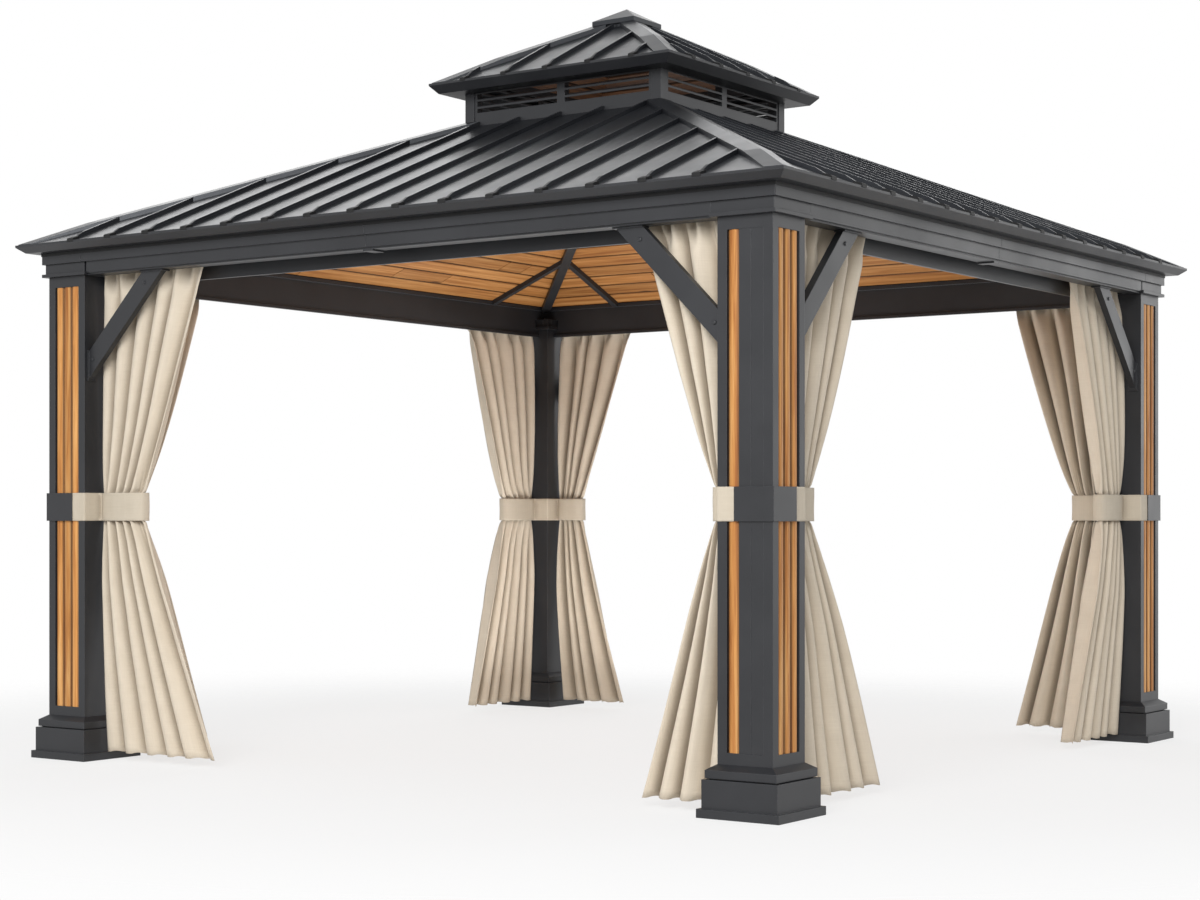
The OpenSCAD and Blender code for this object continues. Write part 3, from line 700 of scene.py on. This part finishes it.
class Folds:
    """The uneven folds of one curtain, drawn once for all its rows.

    Their round crests face inwards where crest is 1, and outwards where it is -1.
    """

    # How uneven the folds are: share of a fold's width, range of depth, turn of each pleat
    WIDTH_CHANGE = 0.3
    DEPTH_RANGE = (0.62, 1.15)
    PLEAT_TURN = 0.9

    # Slow sway of the folds up the curtain: turn and rate of a long and a short wave
    LONG_SWAY = (0.30, 2.6)
    SHORT_SWAY = (0.16, 6.1)

    # Shares of single and double waves in the pleats, of lean in loose folds, of crumple at the tie
    SINGLE_PLEAT, DOUBLE_PLEAT = 0.42, 0.58
    LEAN = 0.42
    CRUMPLE = 0.35

    # Middle of a crest's height, and how blunt the valleys between crests are
    CREST_MIDDLE = 1.15
    VALLEY_BLUNT = 0.006

    # Depths of the whole curtain's bow, of fine creases at the tie, of the hem's rise and fall
    BOW, BOW_RATE = 0.010, 1.9
    CRUSH, CRUSH_FOLDS, CRUSH_RATE = 0.0022, 9, 38
    HEM_RISE, HEM_FALL = 0.004, 0.001

    def __init__(self, widths, crest, seed):
        rng = np.random.default_rng(seed)
        self.widths = widths
        self.crest = crest
        self.cut_width = CLOTH_FULLNESS * widths[0]
        self.count = max(FEWEST_FOLDS, round(widths[0] * FOLDS_PER_METRE))
        self.share = np.linspace(0, 1, self.count * FOLD_COLUMNS + 1)
        self.bundle = (1 - np.abs(2 * self.share - 1) ** BUNDLE_POWER) ** (1 / BUNDLE_POWER)
        self.phase = self.draw_phase(rng)
        self.weight = self.draw_weight(rng)
        pleat_turns = rng.uniform(-self.PLEAT_TURN, self.PLEAT_TURN, self.count + 1)
        self.pleat_shift = np.interp(self.phase, np.arange(self.count + 1), pleat_turns)
        self.turns = rng.uniform(0, 2 * math.pi, 6)

    def draw_phase(self, rng):
        """Which fold a share of the width lies in, with folds of uneven width."""
        blur = 7
        knots = np.linspace(0, 1, self.count + 1)
        changes = rng.uniform(-self.WIDTH_CHANGE, self.WIDTH_CHANGE, self.count - 1)
        knots[1:-1] += changes / self.count
        phase = np.interp(self.share, knots, np.arange(self.count + 1))
        window = np.hanning(2 * blur + 1)
        padded = np.pad(phase, blur, mode="reflect", reflect_type="odd")
        return np.convolve(padded, window / window.sum(), mode="valid")

    def draw_weight(self, rng):
        """How deep a share of the width is folded beside the others."""
        blur = 6
        halves = np.arange(0, self.count + 0.5, 0.5)
        weights = rng.uniform(*self.DEPTH_RANGE, len(halves))
        weight = np.interp(self.phase, halves, weights)
        window = np.ones(2 * blur + 1) / (2 * blur + 1)
        return np.convolve(np.pad(weight, blur, mode="edge"), window, mode="valid")

    def row(self, height):
        """Distances along and across the side for the points of the row at a height."""
        width, near, limit, at_tie, at_rail = row_shape(height, self.widths)
        turns = self.turns
        sway = 0.0
        for (reach, rate), turn in zip((self.LONG_SWAY, self.SHORT_SWAY), turns):
            sway += reach * math.sin(rate * height + turn)
        angle = 2 * math.pi * self.phase + sway * (1 - at_tie)
        crests = 2 * np.sqrt(np.cos(angle / 2) ** 2 + self.VALLEY_BLUNT)
        broad = self.crest * (crests - self.CREST_MIDDLE)
        doubled = self.DOUBLE_PLEAT * np.sin(2 * angle + self.pleat_shift)
        pleats = self.SINGLE_PLEAT * np.sin(angle) + doubled
        wave = (1 - at_rail) * broad + at_rail * pleats
        wave = wave + at_tie * self.CRUMPLE * np.sin(2 * angle + turns[2])
        profile = wave * self.weight * (1 - at_tie * (1 - self.bundle))
        lean = self.LEAN * (1 - at_rail) * np.sin(angle) / (2 * math.pi * self.count)
        along = near + width * (self.share + lean)
        depth = fold_depth(along, profile, limit, self.cut_width)
        bow = self.BOW * math.sin(self.BOW_RATE * height + turns[3])
        bow = bow * (1 - at_tie) * (1 - at_rail)
        creases = np.sin(self.CRUSH_FOLDS * angle + self.CRUSH_RATE * height + turns[4])
        crush = at_tie * self.CRUSH * creases * self.bundle
        return along, RAIL_MIDDLE + depth * profile + bow + crush

    def hem_lift(self):
        """How far the lowest row rises and falls along the hem."""
        lift = self.HEM_RISE * np.sin(4 * math.pi * self.phase + self.turns[5])
        return np.maximum(lift, -self.HEM_FALL)


def curtain(corner, side):
    """One tied-back curtain: gathered at the rail, pressed at the tie, fluted at the hem."""
    widths = CURTAIN_WIDTHS[CORNERS[corner]][side]
    hung_on = SIDES[(corner + side) % len(SIDES)]
    # Round crests face the front or the right
    crest = 1 if hung_on in ("back", "left") else -1
    folds = Folds(widths, crest, CURTAIN_SEED + 10 * corner + side)
    heights = curtain_heights()
    columns = len(folds.share)
    points = []
    for height in heights:
        x, y = corner_point(corner, side, *folds.row(height))
        points.append(np.column_stack([x, y, np.full(columns, height)]))
    points = np.array(points)
    points[0, :, 2] += folds.hem_lift()
    faces = grid_faces(len(heights), columns)
    if side == 1:
        faces = [face[::-1] for face in faces]
    name = f"curtain_{CORNERS[corner]}_{'ab'[side]}"
    piece = add_piece(name, points.reshape(-1, 3), faces, CURTAIN_CLOTH)
    cut_width = folds.cut_width
    up, over = np.meshgrid(heights - HEM_HEIGHT, folds.share * cut_width, indexing="ij")
    add_uv(piece, "cloth", np.column_stack([over.ravel(), up.ravel()]))
    thicken(piece, CLOTH_THICKNESS)
    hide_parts(f"curtains_{CORNERS[corner]}")


# Tie bands


def bundle_loop(width):
    """Plan points round a bundle of cloth, from its front by its far end to its back."""
    middle = POST_SIZE + CURTAIN_START + width / 2
    long, deep = width / 2 + BAND_OFFSET, TIE_DEPTH / 2 + BAND_OFFSET
    points = []
    for turn in np.radians(np.linspace(-LOOP_TURN, LOOP_TURN, LOOP_POINTS)):
        cosine, sine = math.cos(turn), math.sin(turn)
        reach = (abs(cosine) ** BUNDLE_POWER + abs(sine) ** BUNDLE_POWER) ** (-1 / BUNDLE_POWER)
        points.append((middle + long * reach * cosine, RAIL_MIDDLE + deep * reach * sine))
    return points


def rounded_path(points, radius):
    """A closed path with its corners rounded, in close steps round each one."""
    count = len(points)
    path = []
    for index in range(count):
        before, here, after = (Vector(points[(index + shift) % count]) for shift in (-1, 0, 1))
        back, on = before - here, after - here
        start = here + back.normalized() * min(radius, back.length * CORNER_SHARE)
        end = here + on.normalized() * min(radius, on.length * CORNER_SHARE)
        steps = CORNER_STEPS if (start - end).length > SHORT_CORNER else 1
        for step in range(steps):
            share = (step + 0.5) / steps
            path.append(start.lerp(here, share).lerp(here.lerp(end, share), share))
    return path


def band_path(widths):
    """Plan points of a band, and how far each one sinks in beside a bundle."""
    edge = POST_SIZE + BAND_OFFSET
    outer = RAIL_MIDDLE - TIE_DEPTH / 2 + BAND_TUCK
    inner = RAIL_MIDDLE + TIE_DEPTH / 2 - BAND_TUCK
    first = bundle_loop(widths[0][1])
    second = [(across, along) for along, across in reversed(bundle_loop(widths[1][1]))]
    corners = [(-BAND_OFFSET, -BAND_OFFSET), (edge, -BAND_OFFSET), (edge, outer), *first]
    corners += [(edge, inner), (edge, edge), (inner, edge), *second, (outer, edge)]
    corners.append((-BAND_OFFSET, edge))
    path = np.array([tuple(point) for point in rounded_path(corners, BAND_CORNER)])
    sunk = np.zeros_like(path)
    for place, way in (
        ((edge, outer), (SINK_LEAN, 1.0)), ((edge, inner), (SINK_LEAN, -1.0)),
        ((inner, edge), (-1.0, SINK_LEAN)), ((outer, edge), (1.0, SINK_LEAN)),
    ):
        near = np.exp(-(np.hypot(*(path - place).T) / SINK_REACH) ** 2)
        sunk += SINK_DEPTH * near[:, None] * way
    return path, sunk


def tie_band(corner):
    """The band round a post and both its bundles, a strip of doubled cloth."""
    path, sunk = band_path(CURTAIN_WIDTHS[CORNERS[corner]])
    steps = np.hypot(*(np.roll(path, -1, axis=0) - path).T)
    run = np.concatenate([[0], np.cumsum(steps)[:-1]])
    tangent = np.roll(path, -1, axis=0) - np.roll(path, 1, axis=0)
    tangent /= np.linalg.norm(tangent, axis=1)[:, None]
    outward = np.column_stack([tangent[:, 1], -tangent[:, 0]])
    points, coordinates = [], []
    for share in np.arange(BAND_ROWS) / (BAND_ROWS - 1):
        height = TIE_BOTTOM + (TIE_TOP - TIE_BOTTOM) * share
        margin = min(share, 1 - share) * (TIE_TOP - TIE_BOTTOM)
        swell = SWELL_DEPTH * np.sin(run * SWELL_RATE + SWELL_SLANT * share)
        swell = swell * math.sin(math.pi * share)
        pull = float(ease((margin - SINK_MARGIN) / SINK_RAMP))
        moved = path + outward * swell[:, None] + sunk * pull
        x, y = corner_point(corner, 0, moved[:, 0], moved[:, 1])
        points.append(np.column_stack([x, y, np.full(len(path), height)]))
        coordinates.append(np.column_stack([run, np.full(len(path), margin)]))
    piece = add_piece(
        f"tie_band_{CORNERS[corner]}", np.array(points).reshape(-1, 3),
        grid_faces(BAND_ROWS, len(path), closed=True), TIE_CLOTH,
    )
    add_uv(piece, "cloth", np.array(coordinates).reshape(-1, 2))
    thicken(piece, BAND_THICKNESS)
    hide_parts("curtain_ties")


# Boarded ceilings


class Boards(Gathered):
    """Ceiling boards gathered in one mesh, each with a tone and a stretch of grain of its own."""

    def __init__(self, pitch, thickness, clearance, seed):
        super().__init__()
        self.cosine, self.sine = math.cos(pitch), math.sin(pitch)
        self.thickness = thickness
        self.clearance = clearance
        self.rng = np.random.default_rng(seed)
        self.coordinates, self.tones, self.edges = [], [], []

    def add_slope(self, side, low, reach, top_reach, rows):
        """Rows of boards from the foot of a slope up, some of them jointed along the way."""
        row_width = (reach - top_reach) / self.cosine / rows
        for row in range(rows):
            bottom, top = row * row_width + BOARD_GAP, (row + 1) * row_width - BOARD_GAP
            profile = [
                (bottom, BOARD_BEVEL), (bottom + BOARD_BEVEL, 0), (top - BOARD_BEVEL, 0),
                (top, BOARD_BEVEL), (top, self.thickness), (bottom, self.thickness),
            ]
            span = reach - bottom * self.cosine
            joints = []
            if span > JOINTED_SPAN:
                shares = self.rng.uniform(-JOINT_SHARE, JOINT_SHARE, 1 + row % 2)
                joints = sorted(shares * span)
            ends = [None, *joints, None]
            for left, right in zip(ends[:-1], ends[1:]):
                self.add_board(side, low, reach, profile, left, right)

    def add_board(self, side, low, reach, profile, left, right):
        """One board between two joints, or out to the hip where there is no joint."""
        shift = self.rng.uniform(0, GRAIN_SPREAD, 2)
        tone = self.rng.uniform(0, 1)
        outlines = []
        for way, joint in ((-1, left), (1, right)):
            outline = []
            for along, out in profile:
                plan = reach - along * self.cosine + out * self.sine
                x = way * (plan - self.clearance * math.sqrt(2))
                if joint is not None:
                    x = joint - way * BOARD_GAP
                height = low + along * self.sine + out * self.cosine
                outline.append((*turned(side, x, -plan), height))
                self.coordinates.append((x + shift[0], along + shift[1]))
                self.tones.append(tone)
                # 1 on the bevels and back, which take the painted groove shade
                self.edges.append(1.0 if out > 0 else 0.0)
            outlines.append(outline)
        self.add_prism(*outlines)

    def cover(self, name, node, material):
        """The boards as a piece that stands for a ceiling node."""
        piece = self.finish(name, material, "ceiling_boards")
        add_uv(piece, "boards", self.coordinates)
        for label, values in (("tone", self.tones), ("edge", self.edges)):
            layer = piece.data.attributes.new(label, "FLOAT", "POINT")
            layer.data.foreach_set("value", np.array(values, np.float32))
        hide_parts(node)


def ceilings():
    """The four slopes under the main roof, a piece each, and those under the upper roof."""
    for quarter, side in enumerate(SIDES):
        boards = Boards(ROOF_PITCH, BOARD_THICKNESS, HIP_CLEARANCE, BOARD_SEED + quarter)
        boards.add_slope(quarter, CEILING_LOW.z, BEAM_INNER, CUPOLA, BOARD_ROWS)
        boards.cover(f"ceiling_boards_{side}", f"ceiling_{side}", BOARD_TIMBER)
    upper = Boards(UPPER_PITCH, UPPER_BOARD_THICKNESS, UPPER_CLEARANCE, UPPER_BOARD_SEED)
    for quarter in QUARTERS:
        upper.add_slope(
            quarter, UPPER_CEILING_LOW.z, UPPER_CEILING_HIGH.x, UPPER_PEAK, UPPER_BOARD_ROWS,
        )
    upper.cover("ceiling_boards_upper", "upper_ceiling", SHADED_UPPER_BOARD_TIMBER)


# Small hardware


def eave_clips(name, tip, top, pitch, beside, width):
    """A small dark clip over the eave at the foot of each seam."""
    clips = Gathered()
    rise = (CLIP_REACH - EAVE_FLAT) * math.tan(pitch)
    shoulder_up, shoulder_back = CLIP_SHOULDER
    profile = [
        (CLIP_LIP, -CLIP_DROP), (CLIP_LIP, shoulder_up), (-shoulder_back, CLIP_HEIGHT),
        (-CLIP_REACH, rise + CLIP_BACK), (-CLIP_REACH, rise - CLIP_SINK),
        (-EAVE_FLAT, -CLIP_SINK), (0.0, -CLIP_SINK), (0.0, -CLIP_DROP),
    ]
    for quarter in QUARTERS:
        for step in range(-beside, beside + 1):
            centre = step * RIB_PITCH
            outline = [spin(quarter, (centre, -tip - out, top + up)) for out, up in profile]
            clips.add_bar(outline, spin(quarter, (width / 2, 0, 0)))
    clips.finish(name, DARK_METAL_AND_SHADE, "charcoal_metal")


def eave_shadow_strip():
    """A dark strip round the top of the fascia, close under the eave: painted shadow where the eave
    shades the fascia.
    """
    strip = Gathered()
    face = POST_FACE + FASCIA_OUT
    front = face + SHADOW_STRIP_THICKNESS
    top = FASCIA_TOP - TRIM_LAP
    bottom = top - SHADOW_STRIP_HEIGHT
    profile = [(face, bottom), (front, bottom), (front, top), (face, top)]
    for quarter in QUARTERS:
        # Painted shadow: a dark strip laid along the fascia's top
        outline = [spin(quarter, (0, -out, height)) for out, height in profile]
        end = front if quarter % 2 == 0 else face
        strip.add_bar(outline, spin(quarter, (end, 0, 0)))
    strip.finish("eave_shadow_strip", DARK_METAL_AND_SHADE, "charcoal_metal")


def brace_bolts():
    """A bolt head near each end of every knee brace, on both its faces."""
    bolts = Gathered()
    run = BRACE_REACH - BRACE_WIDTH / math.sqrt(2)
    for corner in QUARTERS:
        for side in (0, 1):
            for step in (BOLT_FOOT, run - BOLT_HEAD):
                along = POST_SIZE + step
                height = POST_TOP - run + step
                for across, facing in ((BRACE_SETBACK, -1), (BRACE_SETBACK + BRACE_THICKNESS, 1)):
                    x, y = corner_point(corner, side, along, across)
                    near_x, near_y = corner_point(corner, side, along, across + facing)
                    axis = Vector((near_x - x, near_y - y, 0))
                    bolts.add_dome(Vector((x, y, height)), axis, BOLT_SIZE, BOLT_SIDES)
    bolts.finish("brace_bolts", CHARCOAL, "charcoal_metal")


def beam_screws():
    """A short upright row of screw heads on the inner faces of each capital."""
    screws = Gathered()
    for corner in QUARTERS:
        for side in (0, 1):
            x, y = corner_point(corner, side, SCREW_ALONG, POST_SIZE + CAPITAL_OUT[corner])
            inward = corner_point(corner, side, SCREW_ALONG, POST_FACE)
            axis = Vector((inward[0] - x, inward[1] - y, 0))
            for rise in SCREW_RISES:
                screws.add_dome(Vector((x, y, POST_TOP + rise)), axis, SCREW_SIZE, SCREW_SIDES)
    screws.finish("beam_screws", CHARCOAL, "charcoal_metal")


# Solids of the frame


def solid_finish(name):
    """The finish of a node of the frame."""
    roofing = {"hip_caps", "upper_roof", "upper_hip_caps", "finial_cap"}
    roofing.update(f"roof_{side}" for side in SIDES)
    if name in roofing:
        return ROOF_SHEET
    if name == "post_slats":
        return SLAT_TIMBER
    if name == "upper_ceiling":
        return SHADED_UPPER_BOARD_TIMBER
    if name == "curtain_ties":
        return TIE_CLOTH
    if name.startswith("ceiling_"):
        return BOARD_TIMBER
    if name.startswith("curtains_"):
        return CURTAIN_CLOTH
    return CHARCOAL


def finish_solids():
    """Each solid gets its finish, also where another piece stands for it."""
    for name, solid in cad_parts.items():
        solid.data.materials.clear()
        solid.data.materials.append(solid_finish(name))


# Stage


def add_camera():
    data = bpy.data.cameras.new("camera")
    data.sensor_width = SENSOR_WIDTH
    data.lens = CAMERA_LENS
    data.shift_x, data.shift_y = CAMERA_SHIFT
    camera = bpy.data.objects.new("camera", data)
    camera.location = CAMERA_PLACE
    camera.rotation_euler = (math.radians(90), 0, math.radians(CAMERA_TURN))
    bpy.context.scene.collection.objects.link(camera)
    bpy.context.scene.camera = camera


def add_world():
    """White where it is seen, greyer overhead where it is mirrored, and a softer fill."""
    world = bpy.data.worlds.new("studio")
    bpy.context.scene.world = world
    world.use_nodes = True
    tree = Nodes(world.node_tree)
    seen, mirrored = tree.ray_kinds()
    place = tree.node("TexCoord").outputs["Generated"]
    up = tree.node("SeparateXYZ", {"Vector": place}).outputs["Z"]
    sky = tree.spread(up, SKY_BAND, (1.0, SKY_OVERHEAD), interpolation_type="SMOOTHSTEP")
    lit = tree.spread(mirrored, (0.0, 1.0), (WORLD_FILL, sky))
    background = world.node_tree.nodes["Background"]
    tree.feed(background.inputs["Color"], WHITE)
    tree.feed(background.inputs["Strength"], tree.spread(seen, (0.0, 1.0), (lit, 1.0)))


def floor_material():
    """Pale floor that keeps a soft shadow and fades out into the white background."""
    material = bpy.data.materials.new("floor")
    material.use_nodes = True
    material.node_tree.nodes.clear()
    tree = Nodes(material.node_tree)
    pale = tree.node("BsdfDiffuse", {"Color": FLOOR_TONE}).outputs["BSDF"]
    white = tree.node("Emission", {"Color": WHITE}).outputs["Emission"]
    clear = tree.node("BsdfTransparent").outputs["BSDF"]
    lift = tree.math("MULTIPLY", tree.math("MAXIMUM", *tree.ray_kinds()), FLOOR_LIFT)
    place = tree.node("TexCoord").outputs["Object"]
    away = tree.node("VectorMath", {0: place}, operation="LENGTH").outputs["Value"]
    fade = tree.spread(away, FLOOR_FADE, interpolation_type="SMOOTHSTEP")
    whole = tree.mix_shaders(fade, tree.mix_shaders(lift, pale, white), clear)
    tree.node("OutputMaterial", {"Surface": whole})
    return material


def add_floor():
    mesh = bpy.data.meshes.new("floor")
    corners = [(*turned(quarter, -FLOOR_REACH, -FLOOR_REACH), 0) for quarter in QUARTERS]
    mesh.from_pydata(corners, [], [tuple(QUARTERS)])
    mesh.materials.append(floor_material())
    floor = bpy.data.objects.new("floor", mesh)
    bpy.context.scene.collection.objects.link(floor)


def add_softbox(name, place, target, size, watts):
    """A rectangular lamp that faces its target."""
    data = bpy.data.lights.new(name, "AREA")
    data.shape = "RECTANGLE"
    data.size, data.size_y = size
    data.energy = watts
    lamp = bpy.data.objects.new(name, data)
    lamp.location = place
    aim = Vector(target) - Vector(place)
    lamp.rotation_euler = aim.to_track_quat("-Z", "Y").to_euler()
    bpy.context.scene.collection.objects.link(lamp)


def add_lamps():
    add_softbox("key", (3.9, -9.7, 5.2), target=(0, 0, 1.2), size=(6.0, 5.0), watts=720)
    add_softbox("right_panel", (5.6, 9.4, 2.4), target=(0.8, 0, 1.5), size=(4.6, 4.0), watts=110)
    add_softbox("roof_panel", (-8.8, 8.1, 8.8), target=(0, -1.0, 2.2), size=(8.0, 4.2), watts=195)
    add_softbox("rim_panel", (-3.4, 8.4, 4.9), target=(1.0, 0, 2.5), size=(5.0, 3.0), watts=100)
    add_softbox("under_fill", (-0.5, 0.5, 0.06), target=(-0.4, 0.4, 2.0), size=(1.5, 1.5), watts=28)


finish_solids()
for corner_index in QUARTERS:
    for side_index in (0, 1):
        curtain(corner_index, side_index)
    tie_band(corner_index)
ceilings()
eave_clips("eave_clips", EAVE_TIP, EAVE_TOP, ROOF_PITCH, CLIPS_BESIDE, CLIP_WIDTH)
eave_clips(
    "upper_eave_clips", UPPER_TIP, UPPER_EAVE_TOP, UPPER_PITCH, UPPER_CLIPS_BESIDE, UPPER_CLIP_WIDTH,
)
eave_shadow_strip()
brace_bolts()
beam_screws()

add_camera()
add_world()
add_floor()
add_lamps()
bpy.context.scene.view_settings.view_transform = "Standard"
